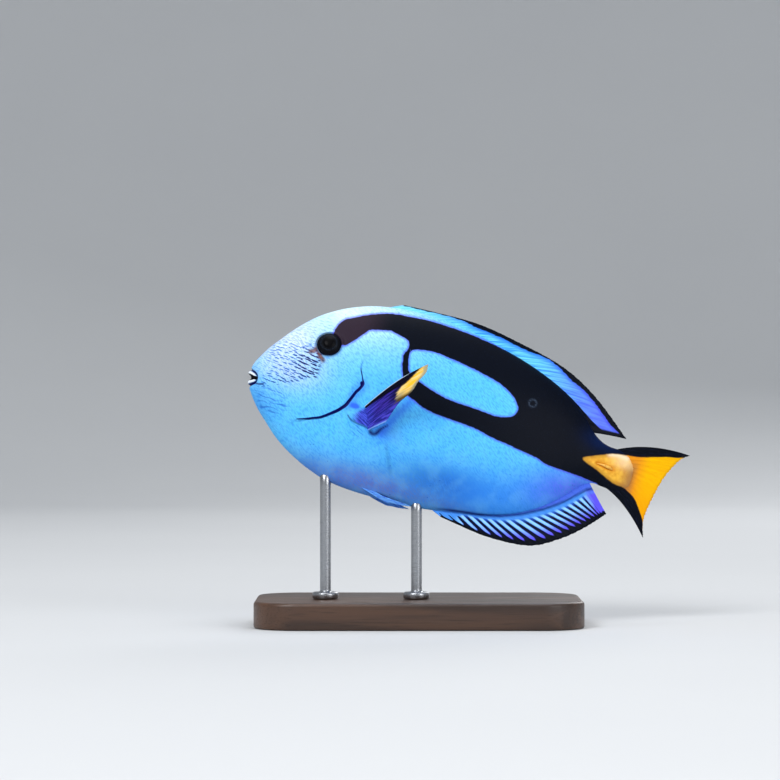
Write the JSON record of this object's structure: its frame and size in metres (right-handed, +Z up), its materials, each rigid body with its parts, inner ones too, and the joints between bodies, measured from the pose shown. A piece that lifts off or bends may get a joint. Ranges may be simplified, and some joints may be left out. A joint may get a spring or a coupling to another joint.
{
  "type": "regal blue tang model",
  "caption": "Life-size still model of a regal blue tang swimming nose-up, left side shown, tail swung away, held by two short rods on a flat wooden display base.",
  "frame": {"origin": "middle of the display base's underside", "axes": "+X runs from the snout towards the tail, -Y is the side the fish's left flank faces, +Z is up"},
  "size_m": [0.2069, 0.084, 0.147],
  "materials": {
    "skin": "satin sky blue with a black marking and fine scale grain",
    "tail_skin": "satin black with a yellow wedge",
    "body_fins": "satin blue with raised rays and a black margin",
    "tail_fin": "satin yellow with black upper and lower lobes",
    "eye": "polished black",
    "bone": "satin ivory",
    "base_wood": "satin dark walnut",
    "rod_steel": "brushed"
  },
  "bodies": {
    "root": {"head": "skin", "trunk": "skin", "tail_stalk": "tail_skin", "eye_right": "eye", "eye_left": "eye", "dorsal_fin": "body_fins", "anal_fin": "body_fins", "tail_fin": "tail_fin", "pectoral_fin_right": "body_fins", "pectoral_fin_left": "body_fins", "pelvic_fin_right": "body_fins", "pelvic_fin_left": "body_fins", "tail_spine_right": "bone", "tail_spine_left": "bone", "stand_base": "base_wood", "stand_rod_front": "rod_steel", "stand_rod_rear": "rod_steel"}
  },
  "joints": []
}
